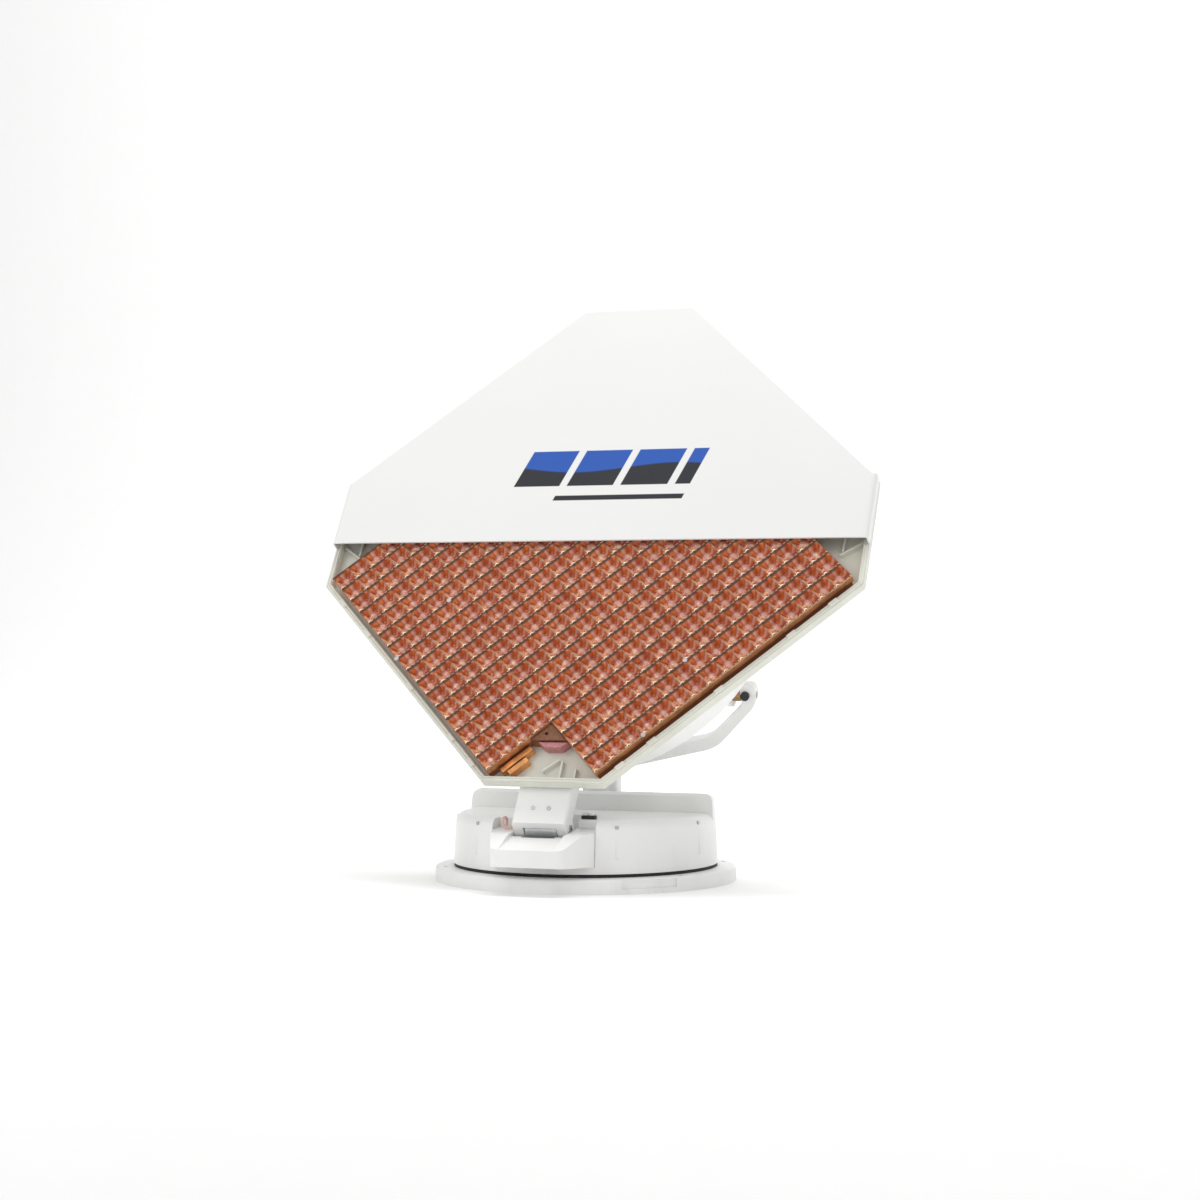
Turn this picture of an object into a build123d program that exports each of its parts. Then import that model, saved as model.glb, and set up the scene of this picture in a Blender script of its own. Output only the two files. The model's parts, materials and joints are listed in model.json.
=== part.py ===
from build123d import *
import os
from math import cos, pi, radians, sin, sqrt, tan

os.makedirs("parts", exist_ok=True)

# ---- driving dimensions, mm; origin at the middle of the roof plate's underside, -Y is the front ----
fit = 0.05                      # radial clearance of a pin that turns in its bore
gap = 0.4                       # clearance between bodies that move past each other

plate_radius = 149.5
plate_height = 14.0
plate_floor = 6.0               # floor of the round recess under the turret
recess_radius = 120.0
rim_bolt_circle = 140.0
rim_bolt_radius = 2.75

wall_radius = 131.4             # turret wall at its foot
wall_taper = 2.8                # degrees
wall_foot = 17.2
skin = 2.6
step_y = 11.0                   # the raised rear half starts here
deck_z = 67.0                   # front deck
ridge_z = 86.0

tilt = 32.2                     # panel leans back from upright, degrees
panel_centre = (0, 16.6, 350)   # middle of the front face
half_width = 285.0
half_edge = 61.4                # half of each short edge
cover_depth = 12.0
cut_v = -15.0                   # the cover ends here, measured up the panel
tray_back = -23.5
housing_centre = -70.0
housing_back = -62.0

hinge_y, hinge_z = -118.0, 59.0         # drive arm hinge at the nose
trunnion_y, trunnion_z = 17.0, 184.0    # the head tilts about this line
trunnion_radius = 4.0
arm_length = 50.0
arm_half_width = 27.0
mast_y = 47.5
mast_half_width = 18.5

gear_module = 1.5
ring_teeth = 48
pinion_teeth = 16
pinion_angle = 200.0

s, c = sin(radians(tilt)), cos(radians(tilt))
# u, v across the face, w out of it
head = Plane(origin=panel_centre, x_dir=(1, 0, 0), z_dir=(0, -c, s))
head_side = Plane(origin=panel_centre, x_dir=(0, s, c), z_dir=(1, 0, 0))    # v, w seen from the side


def panel_vw(y, z):
    """Panel coordinates v, w of a point in the middle plane."""
    dy, dz = y - panel_centre[1], z - panel_centre[2]
    return dy * s + dz * c, dz * s - dy * c


hinge_v, hinge_w = panel_vw(hinge_y, hinge_z)
trunnion_v, trunnion_w = panel_vw(trunnion_y, trunnion_z)
rod_v, rod_w = hinge_v + arm_length, hinge_w            # rod pin in the arm
# rod pin in the head, so that the four pins make a parallelogram
lug_v, lug_w = trunnion_v + arm_length, trunnion_w


def octagon(inset=0.0):
    """Corner points of the panel's outline, moved in by inset."""
    a = half_width - inset
    b = half_edge - inset * (sqrt(2) - 1)
    return [(b, a), (a, b), (a, -b), (b, -a), (-b, -a), (-a, -b), (-a, b), (-b, a)]


def save(builder, name):
    """Label a finished sub-part and write it."""
    builder.part.label = name
    export_step(builder.part, f"parts/{name}.step")


# ================= roof plate =================
with BuildPart() as base_plate:
    with BuildSketch(Plane.XY):
        Circle(plate_radius)
    extrude(amount=plate_height)
    fillet(base_plate.edges().group_by(Axis.Z)[-1], 3)
    with BuildSketch(Plane.XY.offset(plate_floor)):
        Circle(recess_radius)
    extrude(amount=plate_height, mode=Mode.SUBTRACT)
    with Locations((0, 0, plate_floor)):
        Hole(8)
    with PolarLocations(rim_bolt_circle, 6, start_angle=30):
        Hole(rim_bolt_radius)
    # flat label recess in the rim, front right
    with BuildSketch(Plane.XY.offset(5)):
        Polygon((0, 0), (110, -170), (175, -122), align=None)
        Circle(plate_radius - 1.8, mode=Mode.SUBTRACT)
    extrude(amount=8, mode=Mode.SUBTRACT)
save(base_plate, "base_plate")

with BuildPart() as base_seal:
    with BuildSketch(Plane.XY.offset(plate_height)):
        Circle(130.8)
        Circle(125.4, mode=Mode.SUBTRACT)
    extrude(amount=2.6)
save(base_seal, "base_seal")

with BuildPart() as cable_gland:
    with BuildSketch(Plane.XY.offset(0.5)):
        Circle(8)
    extrude(amount=5.5)
    with BuildSketch(Plane.XY.offset(0.5)):
        Circle(4)
    extrude(amount=5.5, mode=Mode.SUBTRACT)
save(cable_gland, "cable_gland")

with BuildPart() as slew_ring_fixed:
    with BuildSketch(Plane.XY.offset(plate_floor)):
        Circle(104)
        Circle(95, mode=Mode.SUBTRACT)
    extrude(amount=7.6)
save(slew_ring_fixed, "slew_ring_fixed")

with BuildPart() as slew_ring_moving:
    with BuildSketch(Plane.XY.offset(7)):
        Circle(113)
        Circle(104 + gap, mode=Mode.SUBTRACT)
    extrude(amount=7.6)
save(slew_ring_moving, "slew_ring_moving")

# ================= azimuth drive =================
ring_radius = gear_module * ring_teeth / 2
pinion_radius = gear_module * pinion_teeth / 2
centre_distance = ring_radius + pinion_radius + 0.35
pinion_x = centre_distance * cos(radians(pinion_angle))
pinion_y = centre_distance * sin(radians(pinion_angle))


def tooth(pitch_radius, teeth):
    """One straight-sided tooth on +X, thinner than half the pitch so that the pair runs with backlash."""
    half = radians(360 / teeth) * pitch_radius / 4 - 0.22
    root, tip = pitch_radius - 1.25 * gear_module, pitch_radius + 0.85 * gear_module
    slope = 0.36
    foot, top = half + slope * (pitch_radius - root), half - slope * (tip - pitch_radius)
    Polygon((root - 0.5, -foot), (tip, -top), (tip, top), (root - 0.5, foot), align=None)


with BuildPart() as azimuth_ring_gear:
    with BuildSketch(Plane.XY.offset(plate_floor)):
        Circle(ring_radius - 1.25 * gear_module)
        with PolarLocations(0, ring_teeth, start_angle=pinion_angle):
            tooth(ring_radius, ring_teeth)
        Circle(24, mode=Mode.SUBTRACT)
    extrude(amount=7)
save(azimuth_ring_gear, "azimuth_ring_gear")

pinion_plane = Plane(origin=(pinion_x, pinion_y, plate_floor + 0.6), z_dir=(0, 0, 1))
with BuildPart() as azimuth_pinion:
    with BuildSketch(pinion_plane):
        Circle(pinion_radius - 1.25 * gear_module)
        with PolarLocations(0, pinion_teeth, start_angle=pinion_angle + 180 + 180 / pinion_teeth):
            tooth(pinion_radius, pinion_teeth)
    extrude(amount=6)
    with BuildSketch(pinion_plane):
        Circle(3)
    extrude(amount=22)
save(azimuth_pinion, "azimuth_pinion")

with BuildPart() as azimuth_motor:
    with BuildSketch(Plane(origin=(pinion_x, pinion_y, 19.4), z_dir=(0, 0, 1))):
        RectangleRounded(38, 34, 4)
    extrude(amount=15)
    with BuildSketch(Plane(origin=(pinion_x, pinion_y, 34.4), z_dir=(0, 0, 1))):
        Circle(14)
    extrude(amount=20)
    with BuildSketch(Plane(origin=(pinion_x, pinion_y, 19.4), z_dir=(0, 0, 1))):
        Circle(3 + fit)
    extrude(amount=10, mode=Mode.SUBTRACT)
save(azimuth_motor, "azimuth_motor")

# ================= turret floor and what stands on it =================
floor_top = 19.4
with BuildPart() as turret_floor:
    with BuildSketch(Plane.XY.offset(14.6)):
        Circle(124)
    extrude(amount=2.3)
    with BuildSketch(Plane.XY.offset(16.9)):
        Circle(127.4)
    extrude(amount=2.5)
    with Locations((pinion_x, pinion_y, floor_top)):
        Hole(4)
    with Locations((0, 0, floor_top)):
        Hole(10.6)
save(turret_floor, "turret_floor")

with BuildPart() as rotary_joint_stator:
    with BuildSketch(Plane.XY.offset(plate_floor)):
        Circle(10)
        Circle(4, mode=Mode.SUBTRACT)
    extrude(amount=24)
save(rotary_joint_stator, "rotary_joint_stator")

with BuildPart() as rotary_joint_rotor:
    with BuildSketch(Plane.XY.offset(floor_top)):
        Circle(17)
    extrude(amount=16)
    with BuildSketch(Plane.XY.offset(floor_top)):
        Circle(10 + gap)
    extrude(amount=12, mode=Mode.SUBTRACT)
save(rotary_joint_rotor, "rotary_joint_rotor")

with BuildPart() as control_board:
    with BuildSketch(Plane.XY.offset(26)):
        with Locations((62, -26)):
            Rectangle(62, 76)
    extrude(amount=1.6)
    with BuildSketch(Plane.XY.offset(27.6)):
        with Locations((62, -40)):
            Rectangle(30, 24)
        with Locations((48, -8), (72, -8)):
            Rectangle(14, 14)
    extrude(amount=5)
    with BuildSketch(Plane.XY.offset(floor_top)):
        with Locations((62, -26)):
            with GridLocations(50, 64, 2, 2):
                Circle(3)
    extrude(amount=6.6)
save(control_board, "control_board")

# bracket that carries the drive arm's hinge, with its barrel between the arm's two ears
barrel_half = 16.4
with BuildPart() as hinge_bracket:
    with BuildSketch(Plane.YZ):
        with Locations((hinge_y, hinge_z)):
            Circle(9)
        Polygon((hinge_y - 9, hinge_z), (hinge_y + 9, hinge_z), (hinge_y + 14, floor_top),
                (hinge_y - 2, floor_top), align=None)
        with Locations((hinge_y, hinge_z)):
            Circle(4, mode=Mode.SUBTRACT)
    extrude(amount=barrel_half, both=True)
save(hinge_bracket, "hinge_bracket")

with BuildPart() as tilt_gearmotor:
    with BuildSketch(Plane.XY.offset(floor_top)):
        with Locations((0, -79)):
            RectangleRounded(40, 34, 4)
    extrude(amount=24)
    with BuildSketch(Plane.YZ.offset(20)):
        with Locations((-79, 34)):
            Circle(12)
    extrude(amount=34)
save(tilt_gearmotor, "tilt_gearmotor")

# ================= turret cover =================


def drum(radius, foot, top, outline):
    """Tapered drum with a rounded shoulder, cut by an outline in the middle plane."""
    with BuildPart() as half:
        with BuildSketch(Plane.XZ) as profile:
            lean = (top - foot) * tan(radians(wall_taper))
            Polygon((0, foot), (radius, foot), (radius - lean, top), (0, top), align=None)
            fillet(profile.vertices().group_by(Axis.Y)[-1].sort_by(Axis.X)[-1], 9)
        revolve(axis=Axis.Z)
        with BuildSketch(Plane.YZ):
            Polygon(*outline, align=None)
        extrude(amount=150, both=True, mode=Mode.INTERSECT)
    return half.part


nose_half = 52.0
nose_front = -165.0


def turret_solid(radius, foot, drop, grow):
    """Low front deck and raised rear half; drop lowers the tops, grow widens the arm's pocket."""
    step = step_y + drop
    with BuildPart() as turret:
        add(drum(radius, foot, deck_z - drop, [(-150, 0), (-150, 90), (step + 1, 90), (step + 1, 0)]))
        add(drum(radius, foot, ridge_z - drop,
                 [(step, 0), (step, 67 - drop), (step + 2, ridge_z - 3 - drop), (step + 5, ridge_z - drop),
                  (150, 58 - drop), (150, 0)]))
        # pocket that the drive arm folds down into
        with BuildSketch(Plane.YZ):
            Polygon((-150, 49.8 - grow), (-53, 49.8 - grow), (-40 + grow, 80), (-150, 80), align=None)
        extrude(amount=29 + grow, both=True, mode=Mode.SUBTRACT)
        # the deck stops above the nose, where a short wall closes it
        with BuildSketch(Plane.XY.offset(55.8)):
            with Locations((0, -140)):
                Rectangle(2 * nose_half + 1 + 2 * grow, 80 + 2 * grow)
        extrude(amount=60, mode=Mode.SUBTRACT)
    return turret.part


drum_outer = turret_solid(wall_radius, wall_foot, 0, 0)
drum_inner = turret_solid(wall_radius - skin, 0, skin, skin)
with BuildPart() as turret_cover:
    add(drum_outer)
    add(drum_inner, mode=Mode.SUBTRACT)
    # opening that the nose closes
    with BuildSketch(Plane.XY.offset(24)):
        with Locations((0, -140)):
            Rectangle(2 * nose_half + 1, 80)
    extrude(amount=60, mode=Mode.SUBTRACT)
    # hole for the mast
    with BuildSketch(Plane.XY.offset(60)):
        with Locations((0, mast_y)):
            Rectangle(2 * mast_half_width + 1, 21)
    extrude(amount=40, mode=Mode.SUBTRACT)
    # upright drain flutes in the wall, each under its screw
    for angle in (33, 77, 121, 180, 239, 283, 326):
        flute = Plane.XY.rotated((0, 0, angle - 90))
        with BuildSketch(Plane(origin=flute.origin, x_dir=flute.x_dir, z_dir=(0, 0, 1)).offset(31)):
            with Locations((wall_radius + 0.4, 0)):
                Circle(2.4)
        extrude(amount=25, mode=Mode.SUBTRACT)
save(turret_cover, "turret_cover")

with BuildPart() as cover_screws:
    for angle in (33, 77, 121, 180, 239, 283, 326):
        a = radians(angle - 90)
        r = wall_radius - 3.1
        with BuildSketch(Plane(origin=(r * cos(a), r * sin(a), 61), z_dir=(cos(a), sin(a), 0))):
            Circle(1.9)
        extrude(amount=1.6)
save(cover_screws, "cover_screws")


def nose_solid(inset, grow):
    """Nose block: side profile cut by its plan outline; inset makes the cavity."""
    k = inset
    with BuildPart() as block:
        with BuildSketch(Plane.YZ):
            Polygon((-100, 24 + k), (-118, 24 + k), (nose_front + k, 26 + k), (nose_front + k, 42.5 - k),
                    (-140, 54.5 - k), (-115, 57 - k), (-100, 58.4 - k), align=None)
        extrude(amount=nose_half - k, both=True)
        with BuildSketch(Plane.XY):
            back = -100 if k else -100.5
            Polygon((-nose_half + k, back), (-nose_half + k, -122), (-36 + k, nose_front + k),
                    (36 - k, nose_front + k), (nose_half - k, -122), (nose_half - k, back), align=None)
        extrude(amount=100, mode=Mode.INTERSECT)
        if k == 0:
            corners = block.edges().filter_by(Axis.Z).filter_by(lambda e: e.center().Y < -110)
            fillet(corners, 9)
        # trough in front of the arm, and the arm's hinge pocket
        with BuildSketch(Plane.YZ):
            Polygon((nose_front - 5, 40.6 - grow), (-132, 52.3 - grow), (-132, 47.5 - grow),
                    (-99, 47.5 - grow), (-99, 70), (nose_front - 5, 70), align=None)
        extrude(amount=arm_half_width + 1 + grow, both=True, mode=Mode.SUBTRACT)
    return block.part


nose_outer = nose_solid(0, 0)
nose_inner = nose_solid(skin, skin)
with BuildPart() as nose_cover:
    add(nose_outer)
    add(nose_inner, mode=Mode.SUBTRACT)
    with BuildSketch(Plane.XY.offset(19)):
        with Locations((0, hinge_y)):
            Rectangle(2 * barrel_half + 1, 33)
    extrude(amount=60, mode=Mode.SUBTRACT)
    # the drum's round wall shows through the open back
    with BuildSketch(Plane.XY.offset(20)):
        Circle(100)
    extrude(amount=60, mode=Mode.SUBTRACT)
    with Locations((-42, -107, 60)):
        Hole(1.7, depth=12)
save(nose_cover, "nose_cover")

# small plug-and-socket on the deck beside the arm
with BuildPart() as deck_socket:
    with BuildSketch(Plane(origin=(37, -93, deck_z), z_dir=(0, 0, 1))):
        RectangleRounded(14, 9, 2)
    extrude(amount=3.5)
save(deck_socket, "deck_socket")

with BuildPart() as deck_plug:
    with BuildSketch(Plane(origin=(37, -93, deck_z + 3.5), z_dir=(0, 0, 1))):
        with Locations((-3.4, 0), (3.4, 0)):
            RectangleRounded(4.6, 5.5, 1)
    extrude(amount=3)
save(deck_plug, "deck_plug")

# short lead from the deck into the hollow hinge pin: straight runs joined by tangent arcs
lead_radius = 1.3
lead_points = [(-42, -107, 52), (-42, -107, 68), (-42, hinge_y, 68), (-42, hinge_y, hinge_z),
               (-25, hinge_y, hinge_z)]
with BuildPart() as arm_lead:
    with BuildLine() as lead_line:
        FilletPolyline(*lead_points, radius=4)
    with BuildSketch(Plane(origin=lead_points[0], z_dir=(0, 0, 1))):
        Circle(lead_radius)
    sweep(path=lead_line.line)
lead_length = sum(edge.length for edge in lead_line.line.edges())
lead_ratio = arm_lead.part.volume / (lead_length * pi * lead_radius ** 2)
print("arm lead volume over section x length:", lead_ratio)
save(arm_lead, "arm_lead")

# ================= mast and fork =================
fork_face = Plane(origin=(0, trunnion_y, trunnion_z), x_dir=(1, 0, 0), z_dir=(0, -0.9077, -0.4195))
fork_thickness = 12.0
with BuildPart() as fork_mast:
    with BuildSketch(fork_face.offset(-fork_thickness / 2)) as fork_outline:
        Polygon((0, -87.5), (125, -57), (172, -8), (172, 12), (157, 12), (157, -9), (120, -45), (0, -73),
                align=None)
        for x, y, radius in ((125, -57, 45), (172, -8, 22), (120, -45, 32), (157, -9, 9), (172, 12, 6)):
            fillet(fork_outline.vertices().sort_by_distance((x, y, 0))[0], radius)
        mirror(about=Plane.YZ)
    extrude(amount=fork_thickness)
    with BuildSketch(Plane.XY.offset(floor_top)):
        with Locations((0, mast_y)):
            RectangleRounded(2 * mast_half_width, 18, 3)
    extrude(amount=94.6)
    # trunnion bores
    with BuildSketch(Plane.YZ):
        with Locations((trunnion_y, trunnion_z)):
            Circle(trunnion_radius + fit)
    extrude(amount=180, both=True, mode=Mode.SUBTRACT)
save(fork_mast, "fork_mast")

with BuildPart() as fork_caps:
    for x in (-162, 162):
        with BuildSketch(fork_face.offset(fork_thickness / 2)):
            with Locations((x, 2)):
                Circle(4.4)
        extrude(amount=4.6)
    fillet(fork_caps.edges().filter_by(GeomType.CIRCLE).sort_by(Axis.Y)[:2], 1)
save(fork_caps, "fork_caps")

with BuildPart() as mast_foot:
    with BuildSketch(Plane.XY.offset(floor_top)):
        with Locations((0, mast_y)):
            RectangleRounded(66, 40, 4)
            RectangleRounded(2 * mast_half_width + 0.2, 18.2, 3, mode=Mode.SUBTRACT)
    extrude(amount=12)
save(mast_foot, "mast_foot")

with BuildPart() as mast_foot_screws:
    with BuildSketch(Plane.XY.offset(floor_top + 12)):
        with Locations((0, mast_y)):
            with GridLocations(52, 26, 2, 2):
                Circle(4)
    extrude(amount=3.5)
save(mast_foot_screws, "mast_foot_screws")

# ================= drive arm and rod =================
arm_front = tray_back - 1.0
arm_back = hinge_w - 3.3
ear_inner = barrel_half + 0.6
with BuildPart() as drive_arm:
    with BuildSketch(head_side):
        Polygon((hinge_v - 3, arm_front), (rod_v + 2, arm_front), (rod_v + 9, arm_front - 7),
                (rod_v + 9, arm_back), (hinge_v, arm_back), (hinge_v - 9, hinge_w), align=None)
    extrude(amount=arm_half_width, both=True)
    fillet(drive_arm.edges().filter_by(lambda e: abs(e.center().X) > 26 and e.length > 30), 2.5)
    with BuildSketch(head_side):
        with Locations((hinge_v, hinge_w)):
            Circle(9)
    extrude(amount=arm_half_width, both=True)
    with BuildSketch(head_side):
        with Locations((rod_v, rod_w)):
            Circle(8)
    extrude(amount=20, both=True)
    # gap between the ears for the barrel
    with BuildSketch(head_side):
        with Locations((hinge_v, hinge_w)):
            Circle(10.5)
        with Locations((hinge_v - 6, hinge_w)):
            Rectangle(12, 21)
    extrude(amount=ear_inner, both=True, mode=Mode.SUBTRACT)
    # slot for the rod's end
    with BuildSketch(head_side):
        with Locations((rod_v, rod_w)):
            Circle(9.5)
        with Locations((rod_v + 5, rod_w)):
            Rectangle(29, 44)
    extrude(amount=6.5, both=True, mode=Mode.SUBTRACT)
    with BuildSketch(head_side):
        with Locations((rod_v, rod_w)):
            Circle(4)
    extrude(amount=20, both=True, mode=Mode.SUBTRACT)
    with BuildSketch(head_side):
        with Locations((hinge_v, hinge_w)):
            Circle(4 + fit)
    extrude(amount=arm_half_width, both=True, mode=Mode.SUBTRACT)
save(drive_arm, "drive_arm")

with BuildPart() as hinge_pin:
    with BuildSketch(Plane.YZ):
        with Locations((hinge_y, hinge_z)):
            Circle(4)
            Circle(1.7, mode=Mode.SUBTRACT)
    extrude(amount=arm_half_width + 1, both=True)
save(hinge_pin, "hinge_pin")

with BuildPart() as arm_screws:
    with BuildSketch(head.offset(arm_front)):
        with Locations((-8, hinge_v + 13), (8, hinge_v + 13)):
            Circle(2.2)
            RegularPolygon(1.2, 6, mode=Mode.SUBTRACT)
    extrude(amount=0.6)
save(arm_screws, "arm_screws")

with BuildPart() as rod_pin:
    with BuildSketch(head_side):
        with Locations((rod_v, rod_w)):
            Circle(4)
    extrude(amount=20, both=True)
save(rod_pin, "rod_pin")

rod_length = sqrt((lug_v - rod_v) ** 2 + (lug_w - rod_w) ** 2)
rod_start = head_side.from_local_coords((rod_v, rod_w, 0))
rod_end = head_side.from_local_coords((lug_v, lug_w, 0))
rod_side = Plane(origin=rod_start, x_dir=rod_end - rod_start, z_dir=(1, 0, 0))
with BuildPart() as tilt_rod:
    with BuildSketch(rod_side):
        Circle(7)
        with Locations((rod_length, 0)):
            Circle(8)
        with Locations((rod_length / 2, 0)):
            Rectangle(rod_length, 9)
        Circle(4 + fit, mode=Mode.SUBTRACT)
        with Locations((rod_length, 0)):
            Circle(4.35, mode=Mode.SUBTRACT)
    extrude(amount=5.5, both=True)
save(tilt_rod, "tilt_rod")

# ================= head: tray, array and cover =================
lip_w = -cover_depth
tray_floor = tray_back + 2.5
with BuildPart() as tray:
    with BuildSketch(head.offset(tray_back)):
        Polygon(*octagon(0.5), align=None)
    extrude(amount=lip_w - tray_back)
    fillet(tray.faces().sort_by(Axis(panel_centre, head.z_dir))[0].edges(), 3)
    with BuildSketch(head.offset(tray_floor)):
        Polygon(*octagon(6.5), align=None)
    extrude(amount=20, mode=Mode.SUBTRACT)
    # ribs that show in the notch and beside the array's right and left corners
    with BuildSketch(head.offset(tray_floor - 0.5)):
        for u, v, length, angle in ((15, -267.5, 19, 90), (4, -263, 20, 40), (30, -272, 12, 90),
                                    (258, 10, 62, 90), (266, -18, 26, 35),
                                    (-258, 10, 62, 90), (-266, -18, 26, 145)):
            with Locations(Location((u, v, 0), angle)):
                Rectangle(length, 2)
    extrude(amount=5.5)
save(tray, "tray")

# array outline: a square standing on its corner, with a notch cut by the panel's lower edge
cell_pitch = 19.4
cells = 20
step_u = cell_pitch / sqrt(2)
array_top = 217.0
array_side = cells * step_u
array_middle = array_top - array_side
notch_cells = 4
notch_top = array_top - (2 * cells - 2 * notch_cells) * step_u


def array_outline(inset):
    """Corner points of the array, moved in by inset."""
    k = inset * sqrt(2)
    foot = notch_cells * step_u
    foot_u, foot_v = foot + inset * 0.6, notch_top - foot + k / 2
    return [(0, array_top - k), (array_side - k, array_middle), (foot_u, foot_v),
            (0, notch_top + k), (-foot_u, foot_v), (-array_side + k, array_middle)]


with BuildPart() as waveguide_plate:
    with BuildSketch(head.offset(tray_floor)):
        Polygon(*array_outline(1.5), align=None)
    extrude(amount=lip_w - tray_floor)
save(waveguide_plate, "waveguide_plate")

array_face = -3.0
with BuildPart() as horn_array:
    with BuildSketch(head.offset(lip_w)):
        Polygon(*array_outline(0), align=None)
    extrude(amount=array_face - lip_w)
    with BuildSketch(head.offset(array_face)):
        with Locations(*[Location(((i - j) * step_u, array_top - (i + j + 1) * step_u, 0), 45)
                         for i in range(cells) for j in range(cells)
                         if i < cells - notch_cells or j < cells - notch_cells]):
            Rectangle(cell_pitch - 2.2, cell_pitch - 2.2)
    extrude(amount=-7, mode=Mode.SUBTRACT)
save(horn_array, "horn_array")

with BuildPart() as array_screws:
    with BuildSketch(head.offset(array_face)):
        screw_corners = ((18, 9), (6, 16), (7, 20), (5, 5), (2, 10), (10, 2), (16, 6), (20, 13))
        with Locations(*[((i - j) * step_u, array_top - (i + j) * step_u) for i, j in screw_corners]):
            Circle(2.4)
    extrude(amount=0.8)
save(array_screws, "array_screws")

with BuildPart() as front_cover:
    with BuildSketch(head.offset(lip_w)):
        Polygon(*octagon(), align=None)
    extrude(amount=cover_depth)
    fillet(front_cover.faces().sort_by(Axis(panel_centre, head.z_dir))[-1].edges(), 5)
    with BuildSketch(head.offset(lip_w)):
        Polygon(*octagon(1.8), align=None)
    extrude(amount=cover_depth - 1.8, mode=Mode.SUBTRACT)
    with BuildSketch(head.offset(lip_w)):
        with Locations((0, cut_v - 200)):
            Rectangle(700, 400)
    extrude(amount=cover_depth, mode=Mode.SUBTRACT)
save(front_cover, "front_cover")

# clips on the lower diagonal lips
clip_sum = half_width + half_edge - 3.5 * sqrt(2)
with BuildPart() as cover_clips:
    with BuildSketch(head.offset(lip_w)):
        for side in (-1, 1):
            for u in (258, 222, 160, 103, 76):
                with Locations(Location((side * u, u - clip_sum, 0), 45 * side)):
                    Rectangle(10, 4)
    extrude(amount=3)
save(cover_clips, "cover_clips")

# feed parts in the notch under the array
notch_plate_foot = notch_top - 19
with BuildPart() as notch_plate:
    with BuildSketch(head.offset(tray_floor)):
        Polygon((0, notch_top - 0.8), (-18.2, notch_plate_foot), (18.2, notch_plate_foot), align=None)
    extrude(amount=14.5)
    with BuildSketch(head.offset(tray_floor + 14.5)):
        with Locations((-3, notch_top - 12)):
            Circle(1.8)
    extrude(amount=-3, mode=Mode.SUBTRACT)
save(notch_plate, "notch_plate")

with BuildPart() as feed_waveguide:
    with BuildSketch(head.offset(tray_floor)) as feed_outline:
        Polygon((-11, notch_plate_foot - 0.5), (20, notch_plate_foot - 0.5), (13, notch_plate_foot - 6.5),
                (-4, notch_plate_foot - 6.5), align=None)
        fillet(feed_outline.vertices().group_by(Axis.Y)[0], 4)
    extrude(amount=12)
save(feed_waveguide, "feed_waveguide")

with BuildPart() as feed_bars:
    with BuildSketch(head.offset(tray_floor)):
        for along, out, length in ((34, 4.8, 26), (36, 12.2, 16)):
            place = (-along + out / sqrt(2), notch_top - along - out / sqrt(2), 0)
            with Locations(Location(place, 45)):
                Rectangle(length * sqrt(2), 5.6)
    extrude(amount=9)
save(feed_bars, "feed_bars")

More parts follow.
